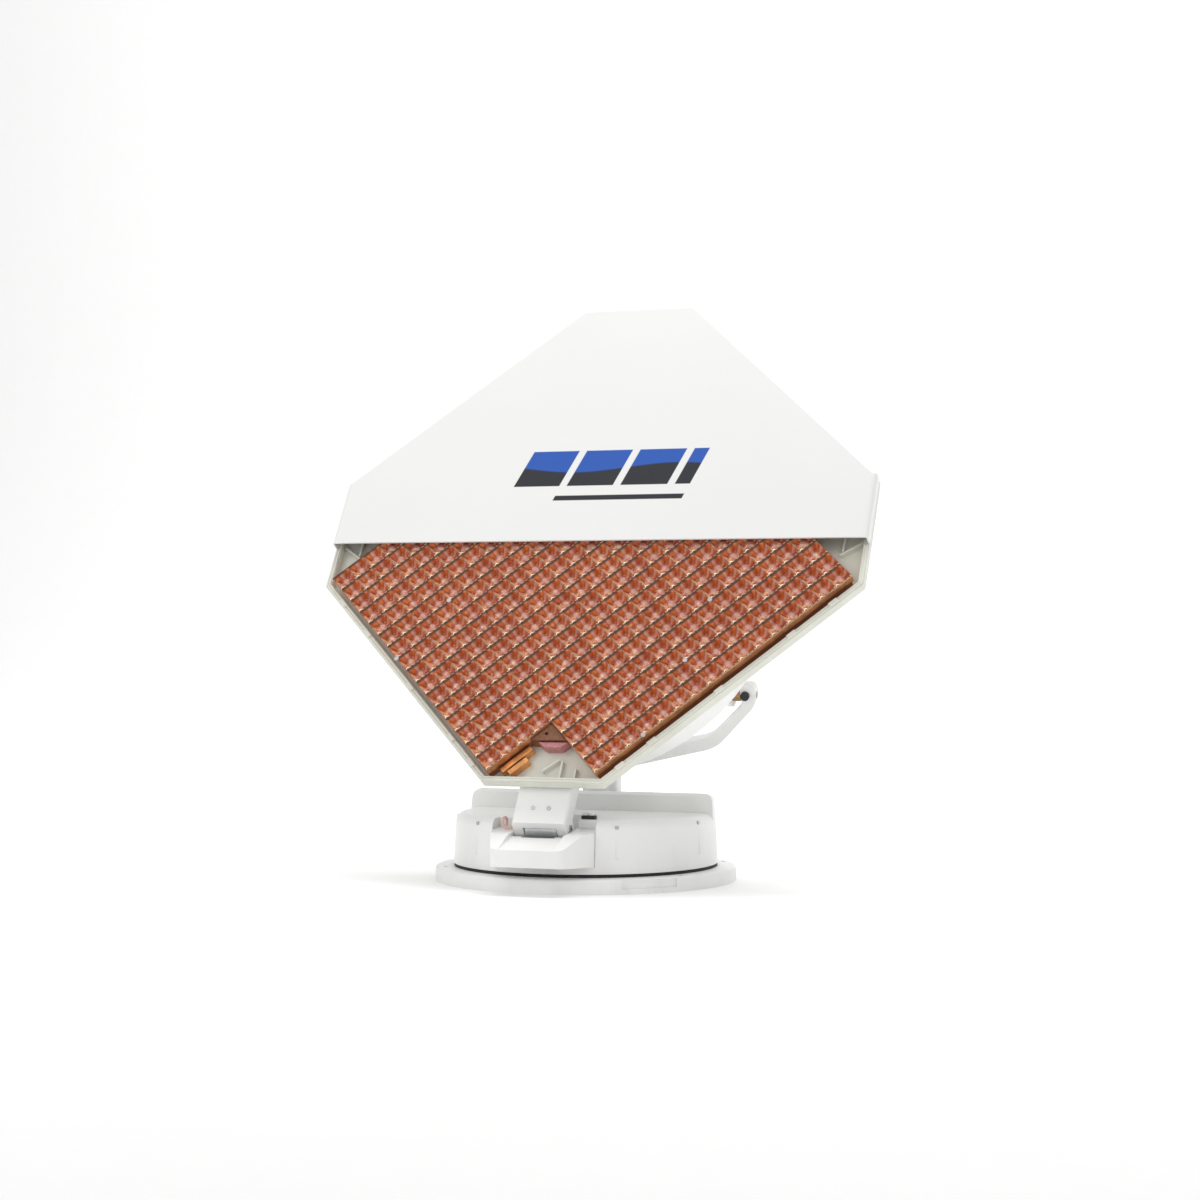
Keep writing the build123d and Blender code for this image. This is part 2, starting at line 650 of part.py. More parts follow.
# ================= head: rear housing =================
housing_plane = Plane(origin=head.from_local_coords((0, housing_centre, 0)), x_dir=(1, 0, 0),
                      z_dir=(0, -s, -c))
housing_axis = Axis(housing_plane.origin, housing_plane.y_dir)
with BuildPart() as rear_housing:
    with BuildSketch(housing_plane) as shell_profile:
        Polygon((0, housing_back), (184, housing_back), (192, tray_back), (0, tray_back), align=None)
        fillet(shell_profile.vertices().sort_by_distance((184, housing_back, 0))[0], 9)
    revolve(axis=housing_axis)
    with BuildSketch(housing_plane) as hollow_profile:
        Polygon((0, housing_back + 2.5), (181.4, housing_back + 2.5), (189.4, tray_back), (0, tray_back),
                align=None)
        fillet(hollow_profile.vertices().sort_by_distance((181.4, housing_back + 2.5, 0))[0], 6.5)
    revolve(axis=housing_axis, mode=Mode.SUBTRACT)
    # walls of the rod's channel and of the arm's notch
    with BuildSketch(head.offset(tray_back)):
        with Locations((0, -201)):
            Rectangle(34, 108)
        with Locations((0, -253)):
            Rectangle(66, 11)
    extrude(amount=housing_back - tray_back)
    with BuildSketch(housing_plane):
        Polygon((0, housing_back - 1), (260, housing_back - 1), (260, tray_back), (192, tray_back),
                (184, housing_back), (0, housing_back), align=None)
    revolve(axis=housing_axis, mode=Mode.SUBTRACT)
    with BuildSketch(head.offset(-29)):
        with Locations((0, -250)):
            Rectangle(28, 200)
    extrude(amount=-60, mode=Mode.SUBTRACT)
    with BuildSketch(head.offset(tray_back)):
        with Locations((0, -286)):
            Rectangle(2 * arm_half_width + 4, 60)
    extrude(amount=-60, mode=Mode.SUBTRACT)
    # ears for the trunnions
    for x in (-141, 141):
        with BuildSketch(Plane(origin=head_side.from_local_coords((0, 0, x)), x_dir=head_side.x_dir,
                               z_dir=head_side.z_dir)):
            Polygon((trunnion_v - 26, housing_back + 1), (trunnion_v + 26, housing_back + 1),
                    (trunnion_v + 12, trunnion_w), (trunnion_v - 12, trunnion_w), align=None)
            with Locations((trunnion_v, trunnion_w)):
                Circle(12)
        extrude(amount=7, both=True)
    with BuildSketch(head_side):
        with Locations((trunnion_v, trunnion_w)):
            Circle(trunnion_radius)
    extrude(amount=160, both=True, mode=Mode.SUBTRACT)
    # lugs for the rod
    for x in (-10, 10):
        with BuildSketch(Plane(origin=head_side.from_local_coords((0, 0, x)), x_dir=head_side.x_dir,
                               z_dir=head_side.z_dir)):
            Polygon((lug_v - 16, housing_back + 1), (lug_v + 16, housing_back + 1), (lug_v + 9, lug_w),
                    (lug_v - 9, lug_w), align=None)
            with Locations((lug_v, lug_w)):
                Circle(9)
        extrude(amount=3, both=True)
    with BuildSketch(head_side):
        with Locations((lug_v, lug_w)):
            Circle(4)
    extrude(amount=20, both=True, mode=Mode.SUBTRACT)
save(rear_housing, "rear_housing")

with BuildPart() as trunnion_pins:
    for x in (-1, 1):
        with BuildSketch(Plane.YZ.offset(134 * x)):
            with Locations((trunnion_y, trunnion_z)):
                Circle(trunnion_radius)
        extrude(amount=36.5 * x)
save(trunnion_pins, "trunnion_pins")

with BuildPart() as trunnion_bushes:
    for x in (-1, 1):
        with BuildSketch(Plane.YZ.offset(148 * x)):
            with Locations((trunnion_y, trunnion_z)):
                Circle(6.5)
                Circle(trunnion_radius, mode=Mode.SUBTRACT)
        extrude(amount=8.5 * x)
save(trunnion_bushes, "trunnion_bushes")

with BuildPart() as lug_pin:
    with BuildSketch(head_side):
        with Locations((lug_v, lug_w)):
            Circle(4)
    extrude(amount=15, both=True)
save(lug_pin, "lug_pin")

with BuildPart() as housing_screws:
    with BuildSketch(head.offset(housing_back)):
        with Locations((0, housing_centre)):
            for angle in (8, 49, 90, 131, 172, 236, 304):
                with Locations((164 * cos(radians(angle)), 164 * sin(radians(angle)))):
                    Circle(3.4)
    extrude(amount=-1.8)
save(housing_screws, "housing_screws")

with BuildPart() as converter:
    with BuildSketch(head.offset(tray_back)):
        with Locations((70, -60)):
            RectangleRounded(76, 48, 5)
    extrude(amount=-22)
    with BuildSketch(head.offset(tray_back)):
        with Locations((70, -24)):
            Circle(9)
    extrude(amount=-16)
save(converter, "converter")

with BuildPart() as tuner_board:
    with BuildSketch(head.offset(tray_back)):
        with Locations((-74, -60)):
            with GridLocations(84, 60, 2, 2):
                Circle(3)
    extrude(amount=-10)
    with BuildSketch(head.offset(tray_back - 10)):
        with Locations((-74, -60)):
            Rectangle(96, 72)
    extrude(amount=-1.6)
    with BuildSketch(head.offset(tray_back - 11.6)):
        with Locations((-88, -60)):
            Rectangle(34, 34)
        with Locations((-52, -50)):
            Rectangle(18, 24)
    extrude(amount=-4)
save(tuner_board, "tuner_board")
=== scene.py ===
import json
import math
import bmesh
import bpy
import numpy as np
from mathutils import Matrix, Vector


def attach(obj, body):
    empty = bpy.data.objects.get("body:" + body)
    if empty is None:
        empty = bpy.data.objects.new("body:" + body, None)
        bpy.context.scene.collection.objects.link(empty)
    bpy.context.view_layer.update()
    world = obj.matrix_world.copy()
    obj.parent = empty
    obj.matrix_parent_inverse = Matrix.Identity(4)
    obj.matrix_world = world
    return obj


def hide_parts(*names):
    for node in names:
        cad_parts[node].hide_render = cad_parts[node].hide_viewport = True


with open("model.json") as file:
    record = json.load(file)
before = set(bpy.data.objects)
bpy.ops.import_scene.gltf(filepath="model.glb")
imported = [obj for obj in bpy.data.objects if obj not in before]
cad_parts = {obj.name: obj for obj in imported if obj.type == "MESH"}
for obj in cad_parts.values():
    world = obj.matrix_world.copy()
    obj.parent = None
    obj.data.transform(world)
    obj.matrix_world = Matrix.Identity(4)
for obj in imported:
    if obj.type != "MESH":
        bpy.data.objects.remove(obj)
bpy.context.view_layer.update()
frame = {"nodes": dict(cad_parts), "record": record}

print("frame loaded:", len(frame["nodes"]), "nodes")

# the panel's own frame: u to the right, v up the face, w out of it
lean = math.radians(32.2)
panelMid = np.array([0.0, 0.0166, 0.35])
uDir = np.array([1.0, 0.0, 0.0])
vDir = np.array([0.0, math.sin(lean), math.cos(lean)])
wDir = np.array([0.0, -math.cos(lean), math.sin(lean)])


# point = middle + u along uDir + v along vDir + w along wDir, from millimetres on the panel
def onPanel(u, v, w):
    u, v, w = np.broadcast_arrays(np.asarray(u, float), np.asarray(v, float), np.asarray(w, float))
    return panelMid + 0.001 * (u[..., None] * uDir + v[..., None] * vDir + w[..., None] * wDir)


# a mesh object from an array of points and a list of faces
def meshObject(name, verts, faces, smooth=True):
    mesh = bpy.data.meshes.new(name)
    mesh.from_pydata(np.asarray(verts).reshape(-1, 3).tolist(), [], [tuple(f) for f in faces])
    mesh.validate()
    mesh.update()
    if smooth:
        mesh.polygons.foreach_set("use_smooth", [True] * len(mesh.polygons))
    piece = bpy.data.objects.new(name, mesh)
    bpy.context.scene.collection.objects.link(piece)
    return piece


# faces of a rows x cols grid of points; the last column joins the first when closed
def gridFaces(rows, cols, closed=False, start=0):
    r, c = np.meshgrid(np.arange(rows - 1), np.arange(cols if closed else cols - 1), indexing="ij")
    n = (c + 1) % cols
    quads = np.stack([r * cols + c, r * cols + n, (r + 1) * cols + n, (r + 1) * cols + c], -1)
    return (quads.reshape(-1, 4) + start).tolist()


# rows of a closed outline moved in by each inset: every corner moves along its mitre
def insetRows(outline, insets):
    pts = np.asarray(outline, float)
    back, ahead = pts - np.roll(pts, 1, 0), np.roll(pts, -1, 0) - pts
    back /= np.linalg.norm(back, axis=1)[:, None]
    ahead /= np.linalg.norm(ahead, axis=1)[:, None]
    nBack = np.stack([-back[:, 1], back[:, 0]], 1)
    nAhead = np.stack([-ahead[:, 1], ahead[:, 0]], 1)
    mitre = nBack + nAhead
    mitre /= (mitre * nBack).sum(1)[:, None]
    return pts[None] + np.asarray(insets, float)[:, None, None] * mitre[None]


# doubles merged, then every face turned outwards
def turnOut(piece):
    work = bmesh.new()
    work.from_mesh(piece.data)
    bmesh.ops.remove_doubles(work, verts=work.verts, dist=1e-6)
    bmesh.ops.recalc_face_normals(work, faces=work.faces)
    work.to_mesh(piece.data)
    work.free()
    return piece


softening = {"merge": 2e-6, "flat": math.radians(1.0), "segments": 3, "sharp": math.radians(35)}


# a CAD node's shape with its sharp edges rounded: doubles merged, flat triangles joined, a live Bevel
def softened(node, name, width):
    mesh = frame["nodes"][node].data.copy()
    work = bmesh.new()
    work.from_mesh(mesh)
    bmesh.ops.remove_doubles(work, verts=work.verts, dist=softening["merge"])
    bmesh.ops.dissolve_limit(work, angle_limit=softening["flat"], verts=work.verts, edges=work.edges)
    work.to_mesh(mesh)
    work.free()
    if mesh.has_custom_normals:
        mesh.attributes.remove(mesh.attributes["custom_normal"])
    mesh.polygons.foreach_set("use_smooth", [True] * len(mesh.polygons))
    piece = bpy.data.objects.new(name, mesh)
    bpy.context.scene.collection.objects.link(piece)
    bevel = piece.modifiers.new("roundedEdges", "BEVEL")
    bevel.width = width
    bevel.segments = softening["segments"]
    bevel.limit_method = "ANGLE"
    bevel.angle_limit = softening["sharp"]
    bevel.harden_normals = True
    bevel.miter_outer = "MITER_ARC"
    bevel.use_clamp_overlap = True
    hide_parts(node)
    return piece


# shader maths: a socket with operators
class Wire:
    def __init__(self, paint, socket):
        self.paint, self.socket = paint, socket

    def calc(self, operation, *others, **more):
        settings = {"operation": operation, **more}
        return self.paint.node("ShaderNodeMath", settings, dict(enumerate((self,) + others)))

    def __add__(self, other):
        return self.calc("ADD", other)

    __radd__ = __add__

    def __sub__(self, other):
        return self.calc("SUBTRACT", other)

    def __rsub__(self, other):
        return self.paint.node("ShaderNodeMath", {"operation": "SUBTRACT"}, {0: other, 1: self})

    def __mul__(self, other):
        return self.calc("MULTIPLY", other)

    __rmul__ = __mul__

    def __truediv__(self, other):
        return self.calc("DIVIDE", other)

    def __abs__(self):
        return self.calc("ABSOLUTE")

    def clip(self):
        return self.calc("ADD", 0.0, use_clamp=True)

    # 0 below low, 1 above high, smooth between
    def ramp(self, low, high):
        return self.paint.node("ShaderNodeMapRange", {"interpolation_type": "SMOOTHSTEP"},
                               {"Value": self, "From Min": low, "From Max": high})

    # 1 inside low..high with soft sides
    def band(self, low, high, soft):
        return self.ramp(low - soft, low + soft) * (1 - self.ramp(high - soft, high + soft))


# one material: its nodes, the patterns that the finishes share, and its shader
class Paint:
    def __init__(self, name):
        self.material = bpy.data.materials.new(name)
        self.material.use_nodes = True
        self.tree = self.material.node_tree
        self.shader = self.tree.nodes["Principled BSDF"]
        self.place = self.node("ShaderNodeTexCoord", {}, {}, "Object")

    # type of node, its settings, values or links of its sockets, and which output comes back
    def node(self, kind, settings, sockets, out=0):
        made = self.tree.nodes.new(kind)
        for key, value in settings.items():
            if key == "stops":
                ramp = made.color_ramp
                while len(ramp.elements) < len(value):
                    ramp.elements.new(0.5)
                for stop, (position, color) in zip(ramp.elements, value):
                    stop.position = position
                    stop.color = (*color, 1.0)
            else:
                setattr(made, key, value)
        for key, value in sockets.items():
            target = made.inputs[key]
            if isinstance(value, Wire):
                self.tree.links.new(value.socket, target)
            elif isinstance(value, tuple) and len(value) == 3 and target.type == "RGBA":
                target.default_value = (*value, 1.0)
            else:
                target.default_value = value
        return Wire(self, made.outputs[out])

    def mix(self, factor, a, b):
        return self.node("ShaderNodeMix", {"data_type": "RGBA"}, {0: factor, 6: a, 7: b}, 2)

    def dot(self, vector, direction):
        return self.node("ShaderNodeVectorMath", {"operation": "DOT_PRODUCT"},
                         {0: vector, 1: tuple(float(x) for x in direction)}, "Value")

    # the object's place with each axis scaled, so that a pattern runs long or short along it
    def stretched(self, scale):
        return self.node("ShaderNodeVectorMath", {"operation": "MULTIPLY"}, {0: self.place, 1: scale}, 0)

    def noise(self, scale, detail=3.0, roughness=0.5, vector=None):
        sockets = {"Vector": vector or self.place, "Scale": scale, "Detail": detail, "Roughness": roughness}
        return self.node("ShaderNodeTexNoise", {}, sockets, 0)

    def bump(self, height, strength, distance, under=None):
        sockets = {"Height": height, "Strength": strength, "Distance": distance}
        if under is not None:
            sockets["Normal"] = under
        return self.node("ShaderNodeBump", {}, sockets, 0)

    # fixed numbers go on the shader's own sockets, wires are linked
    def finish(self, **values):
        for key, value in values.items():
            socket = self.shader.inputs[key.replace("_", " ")]
            if isinstance(value, Wire):
                self.tree.links.new(value.socket, socket)
            elif isinstance(value, tuple):
                socket.default_value = (*value, 1.0)
            else:
                socket.default_value = value
        return self.material

    # u, v, w in millimetres on the panel
    def panelCoords(self):
        offset = self.node("ShaderNodeVectorMath", {"operation": "SUBTRACT"},
                           {0: self.place, 1: tuple(float(x) for x in panelMid)}, 0)
        return tuple(self.dot(offset, d * 1000.0) for d in (uDir, vDir, wDir))


# the dust colour serves both the dust specks and the darkening towards the bottom
shellWhite = {"light": (0.86, 0.86, 0.845), "shade": (0.80, 0.80, 0.785), "dust": (0.62, 0.60, 0.55),
              "gloss": 0.34, "refraction": 1.47}


# moulded white shell: faint clouding, darker and streaked towards the bottom, dust in specks, fine orange-peel
# skin
def whitePaint(name, colours=shellWhite, darkeningTop=0.06):
    paint = Paint(name)
    z = paint.dot(paint.place, (0, 0, 1))
    cloud = paint.noise(9.0, 4.0)
    speck = paint.noise(420.0, 2.0).ramp(0.68, 0.76)
    streak = paint.noise(30.0, 5.0, 0.6, paint.stretched((1.0, 1.0, 0.15)))
    # darker and streaked towards the bottom, fading out at the given height
    low = (1 - z.ramp(0.0, darkeningTop)) * streak.ramp(0.45, 0.7)
    base = paint.mix(cloud.ramp(0.35, 0.65), colours["light"], colours["shade"])
    base = paint.mix((low * 0.30 + speck * 0.10).clip(), base, colours["dust"])
    peel = paint.noise(700.0, 2.0)
    smear = paint.noise(22.0, 5.0, 0.65)
    return paint.finish(Base_Color=base, Roughness=colours["gloss"] + smear * 0.12 + low * 0.2,
                        Normal=paint.bump(peel, 0.12, 0.0004), IOR=colours["refraction"])


# the cover carries a row of plain slanted bars, blue above a wavy line and near black below, and a
# thin line under them; places are millimetres on the panel
coverLook = {"light": (0.80, 0.80, 0.79), "shade": (0.785, 0.785, 0.77), "gloss": 0.26, "coat": 0.15}
coverGraphic = {"blue": (0.010, 0.085, 0.42), "dark": (0.012, 0.014, 0.02), "slant": 0.32, "soft": 0.5,
                "bars": ((-112.0, -62.0), (-54.0, -4.0), (4.0, 54.0), (62.0, 78.0)), "barHeights": (52.0, 96.0),
                "line": (-60.0, 78.0), "lineHeights": (34.0, 40.0),
                "waveMiddle": 74.0, "waveDepth": 5.0, "waveTurn": 0.03}


def coverPaint():
    paint = Paint("coverWhite")
    u, v, w = paint.panelCoords()
    cloud = paint.noise(7.0, 4.0)
    base = paint.mix(cloud.ramp(0.3, 0.7), coverLook["light"], coverLook["shade"])
    g = coverGraphic
    slanted = u - v * g["slant"]
    swing = paint.node("ShaderNodeMath", {"operation": "SINE"}, {0: slanted * g["waveTurn"]})
    wave = swing * g["waveDepth"] + g["waveMiddle"]
    bars = sum(slanted.band(low, high, g["soft"]) for low, high in g["bars"])
    block = bars * v.band(*g["barHeights"], g["soft"])
    line = slanted.band(*g["line"], g["soft"]) * v.band(*g["lineHeights"], g["soft"])
    ink = paint.mix((v - wave).ramp(-1.0, 1.0), g["dark"], g["blue"])
    front = w.ramp(-2.2, -1.2)                            # only the front skin is printed
    base = paint.mix(block * front, base, ink)
    base = paint.mix(line * front, base, g["dark"])
    peel = paint.noise(520.0, 2.0)
    smear = paint.noise(14.0, 5.0, 0.6)
    return paint.finish(Base_Color=base, Roughness=coverLook["gloss"] + smear * 0.10,
                        Coat_Weight=coverLook["coat"], Normal=paint.bump(peel, 0.08, 0.0004),
                        IOR=shellWhite["refraction"])


trayLook = {"light": (0.74, 0.74, 0.66), "shade": (0.66, 0.66, 0.59), "back": (0.80, 0.81, 0.80),
            "scuff": (0.55, 0.54, 0.48)}


# moulded cream: fine grain and scuffs inside, a cooler white on the back
def creamPaint():
    paint = Paint("trayCream")
    w = paint.panelCoords()[2]
    cloud = paint.noise(14.0, 4.0)
    base = paint.mix(cloud.ramp(0.3, 0.7), trayLook["light"], trayLook["shade"])
    outer = 1 - w.ramp(-24.2, -22.5)
    base = paint.mix(outer, base, trayLook["back"])
    grain = paint.noise(900.0, 3.0)
    scuff = paint.noise(150.0, 4.0, 0.6).ramp(0.62, 0.78)
    base = paint.mix(scuff * 0.18, base, trayLook["scuff"])
    return paint.finish(Base_Color=base, Roughness=0.42 + grain * 0.1, Normal=paint.bump(grain, 0.15, 0.0004))


# the array's cells: a square grid standing on its corner, with a square notch at its foot
cell = {"pitch": 19.4, "top": 217.0, "count": 20, "notch": 4, "face": -3.0, "depth": 6.5, "foot": -12.0}
# the last two colours are the zigzag's painted highlight and its painted shade
hornColours = {"orange": (0.60, 0.155, 0.048), "orangeLight": (0.74, 0.24, 0.082), "rust": (0.34, 0.06, 0.022),
               "mauve": (0.62, 0.32, 0.25), "mauveLight": (0.74, 0.42, 0.33), "star": (0.62, 0.30, 0.27),
               "gleam": (1.0, 0.68, 0.42), "thinEdge": (0.20, 0.065, 0.03), "ridge": (0.10, 0.04, 0.02),
               "lip": (1.0, 0.86, 0.68), "teeth": (0.035, 0.016, 0.012)}


# p and q count cells down the two diagonals; pc and qc are the place in a cell from its middle
def hornPaint():
    paint = Paint("hornCopper")
    u, v = paint.panelCoords()[:2]
    shade = hornColours
    diag = cell["pitch"] * math.sqrt(2)
    down = cell["top"] - v
    p = (down + u) / diag
    q = (down - u) / diag
    pc = p.calc("FRACT") - 0.5
    qc = q.calc("FRACT") - 0.5
    ap, aq = abs(pc), abs(qc)
    edge = ap.calc("MAXIMUM", aq)
    inner = ap.calc("MINIMUM", aq)
    wobble = paint.noise(260.0, 3.0, 0.6) - 0.5
    # tone of every cell, so that neighbours differ a little
    which = paint.node("ShaderNodeCombineXYZ", {}, {0: p.calc("FLOOR"), 1: q.calc("FLOOR")})
    tone = paint.node("ShaderNodeTexWhiteNoise", {}, {"Vector": which}, 0)
    # petals: eight streaks fan out from the star, orange-red between mauve
    fan = paint.node("ShaderNodeMath", {"operation": "ARCTAN2"}, {0: pc, 1: qc})
    streaks = paint.node("ShaderNodeMath", {"operation": "SINE"}, {0: fan * 8.0 + wobble * 5.0}) * 0.5 + 0.5
    lobes = (inner + wobble * 0.08).ramp(0.03, 0.14)
    star = 1 - (edge + wobble * 0.14).ramp(0.10, 0.27)
    ridge = (ap + wobble * 0.04).ramp(0.37, 0.45)
    thin = (aq + wobble * 0.04).ramp(0.42, 0.48) * 0.7
    orange = paint.mix(tone, shade["orange"], shade["orangeLight"])
    orange = paint.mix(streaks * 0.75, orange, shade["rust"])
    mauve = paint.mix(tone, shade["mauve"], shade["mauveLight"])
    base = paint.mix(lobes, mauve, orange)
    base = paint.mix(star * (streaks * 0.5 + 0.2), base, shade["star"])
    gleam = (wobble + (qc + pc) * 0.3).band(0.10, 0.24, 0.05)
    base = paint.mix((gleam * 0.65).clip(), base, shade["gleam"])
    base = paint.mix(thin, base, shade["thinEdge"])
    base = paint.mix(ridge, base, shade["ridge"])
    # zigzag along one side of each cell near its lip: a painted highlight in bright gold, with dark teeth of
    # painted shade beside it
    saw = paint.node("ShaderNodeMath", {"operation": "PINGPONG"}, {0: q * 4.0, 1: 0.5})
    zigzag = pc + saw * 0.12 - 0.06
    # lip is the mask of the painted highlight, and the next mask is that of its painted shade
    lip = zigzag.band(0.375, 0.435, 0.02) * (saw.ramp(0.05, 0.25) * 0.7 + 0.3)
    teeth = zigzag.band(0.435, 0.495, 0.012) * saw.ramp(0.2, 0.3)
    base = paint.mix((lip * 1.1).clip(), base, shade["lip"])
    base = paint.mix((teeth * 0.9).clip(), base, shade["teeth"])
    height = saw * lip * 0.5 - lobes * 0.4 + wobble * 0.7
    metal = 0.35 + tone * 0.1
    return paint.finish(Base_Color=base, Metallic=metal, Roughness=0.30 + wobble * 0.25 + ridge * 0.15,
                        Normal=paint.bump(height, 0.7, 0.0012), Coat_Weight=0.2, Coat_Roughness=0.2)


copperEdge = (0.95, 0.62, 0.36)


# side walls of the array and the feed parts: copper sheet, dark seam at the joint, bright upper edge
def copperPaint(name, top=(0.80, 0.36, 0.16), dark=(0.22, 0.055, 0.03), seam=True):
    paint = Paint(name)
    w = paint.panelCoords()[2]
    streak = paint.noise(90.0, 5.0, 0.6)
    run = paint.noise(35.0, 3.0, 0.5, paint.stretched((1.0, 0.3, 0.3)))
    base = paint.mix(streak.ramp(0.35, 0.65), top, tuple(0.62 * c for c in top))
    if seam:
        base = paint.mix(w.band(-14.0, -11.4, 0.4) * 0.9, base, dark)
        base = paint.mix(1 - w.ramp(-20.5, -16.0), base, dark)
        base = paint.mix(w.ramp(-4.6, -3.6), base, copperEdge)
    base = paint.mix(run.ramp(0.55, 0.75) * 0.4, base, dark)
    return paint.finish(Base_Color=base, Metallic=0.7, Roughness=0.28 + streak * 0.2,
                        Normal=paint.bump(streak, 0.2, 0.0006))


plateLook = {"dark": (0.17, 0.070, 0.036), "light": (0.24, 0.105, 0.052), "side": (0.45, 0.15, 0.06)}


# brown coated plate, redder on its sides
def brownPaint():
    paint = Paint("plateBrown")
    w = paint.panelCoords()[2]
    grain = paint.noise(340.0, 4.0, 0.7)
    base = paint.mix(grain.ramp(0.35, 0.65), plateLook["dark"], plateLook["light"])
    side = 1 - w.ramp(-13.0, -12.2)
    base = paint.mix(side * 0.6, base, plateLook["side"])
    return paint.finish(Base_Color=base, Metallic=0.35, Roughness=0.38 + grain * 0.2,
                        Normal=paint.bump(grain, 0.25, 0.0004))


# the feed's mauve metal, with a fine grain
def mauvePaint():
    paint = Paint("feedMauve")
    grain = paint.noise(300.0, 4.0, 0.6)
    base = paint.mix(grain.ramp(0.3, 0.7), (0.44, 0.17, 0.18), (0.56, 0.25, 0.25))
    return paint.finish(Base_Color=base, Metallic=0.4, Roughness=0.30 + grain * 0.15,
                        Normal=paint.bump(grain, 0.2, 0.0004))


# black rubber or plastic, grey where dust lies
def blackPaint(name, rough, rubber=False):
    paint = Paint(name)
    grain = paint.noise(1100.0 if rubber else 600.0, 3.0)
    dust = paint.noise(45.0, 5.0, 0.7).ramp(0.55, 0.75)
    base = paint.mix(dust * 0.5, (0.012, 0.012, 0.013), (0.055, 0.052, 0.048))
    return paint.finish(Base_Color=base, Roughness=rough + grain * 0.15 + dust * 0.1,
                        Normal=paint.bump(grain, 0.3, 0.0004))


# metal: fine lines along one direction, rub marks and a slight change of tone
def metalPaint(name, colour, rough=0.28, lines=(1.0, 1.0, 18.0), rubbed=(0.20, 0.19, 0.18)):
    paint = Paint(name)
    brushed = paint.noise(240.0, 4.0, 0.6, paint.stretched(lines))
    cloud = paint.noise(40.0, 5.0, 0.6)
    base = paint.mix(cloud.ramp(0.3, 0.7), colour, tuple(0.8 * c for c in colour))
    base = paint.mix(cloud.ramp(0.62, 0.8) * 0.5, base, rubbed)
    return paint.finish(Base_Color=base, Metallic=1.0, Roughness=rough + brushed * 0.18 + cloud * 0.08,
                        Normal=paint.bump(brushed, 0.15, 0.0003))


# coated board: straight copper tracks under green lacquer, dark parts above
def boardPaint():
    paint = Paint("boardGreen")
    tracks = {"Vector": paint.place, "Scale": 160.0, "Mortar Size": 0.012, "Color1": (0.02, 0.13, 0.06),
              "Color2": (0.03, 0.17, 0.08), "Mortar": (0.20, 0.36, 0.14)}
    across = paint.node("ShaderNodeTexBrick", {"offset": 0.35}, tracks, 0)
    speck = paint.noise(500.0, 2.0).ramp(0.66, 0.72)
    base = paint.mix(speck * 0.7, across, (0.72, 0.70, 0.62))
    return paint.finish(Base_Color=base, Roughness=0.3 + speck * 0.2, Normal=paint.bump(speck, 0.4, 0.0004))


# braided sheath of the lead, pale strands across darker ones
def sheathPaint():
    paint = Paint("sheathPink")
    weave = paint.node("ShaderNodeTexWave", {"wave_type": "BANDS", "bands_direction": "DIAGONAL"},
                       {"Vector": paint.place, "Scale": 420.0, "Distortion": 0.6}, "Fac")
    base = paint.mix(weave, (0.66, 0.38, 0.34), (0.80, 0.55, 0.50))
    return paint.finish(Base_Color=base, Roughness=0.4 + weave * 0.1, Normal=paint.bump(weave, 0.3, 0.0003))


finishes = {
    "white_cover": whitePaint("shellWhite"),
    "tray_cream": creamPaint(),
    "copper_array": copperPaint("copperSide"),
    "array_dark": brownPaint(),
    "feed_mauve": mauvePaint(),
    "black_seal": blackPaint("sealBlack", 0.6, rubber=True),
    "black_plastic": blackPaint("plasticBlack", 0.38),
    "lead_pink": sheathPaint(),
    "steel": metalPaint("screwSteel", (0.56, 0.56, 0.57)),
    "cast_alloy": metalPaint("castAlloy", (0.66, 0.67, 0.68), 0.36, (1.0, 1.0, 1.0)),
    "gear_brass": metalPaint("gearBrass", (0.70, 0.50, 0.20), 0.24, (6.0, 6.0, 1.0), (0.25, 0.16, 0.06)),
    "board_green": boardPaint(),
    "bush_bronze": metalPaint("bushBronze", (0.52, 0.31, 0.14), 0.3, (8.0, 1.0, 1.0), (0.18, 0.10, 0.04)),
}
plateWhite = {**shellWhite, "light": (0.84, 0.84, 0.83), "gloss": 0.40}
ownFinish = {  # nodes whose finish differs from their slot's
    "front_cover": coverPaint(),
    "feed_bars": copperPaint("barCopper", (0.85, 0.40, 0.15), (0.30, 0.08, 0.03), seam=False),
    "rear_housing": whitePaint("housingWhite", darkeningTop=0.02),
    "base_plate": whitePaint("plateWhite", plateWhite, 0.02),
}


def wear(piece, material):
    piece.data.materials.clear()
    piece.data.materials.append(material)


slotOf = {s["node"]: s["material_slot"] for s in frame["record"]["subparts"]}
bodyOf = {n: b for b, names in frame["record"]["behaviour"]["bodies"].items() for n in names}
for name, node in frame["nodes"].items():
    material = ownFinish.get(name, finishes[slotOf[name]])
    for slot in node.material_slots:
        slot.link = "OBJECT"
        slot.material = material
print("finishes on", len(frame["nodes"]), "nodes")


# half widths of a horn's parts in cells, and how far down each lies as a share of the depth
horn = {"star": (0.11, 0.72), "throat": (0.27, 1.0), "lip": (0.455, 0.0), "edge": (0.5, 0.0)}


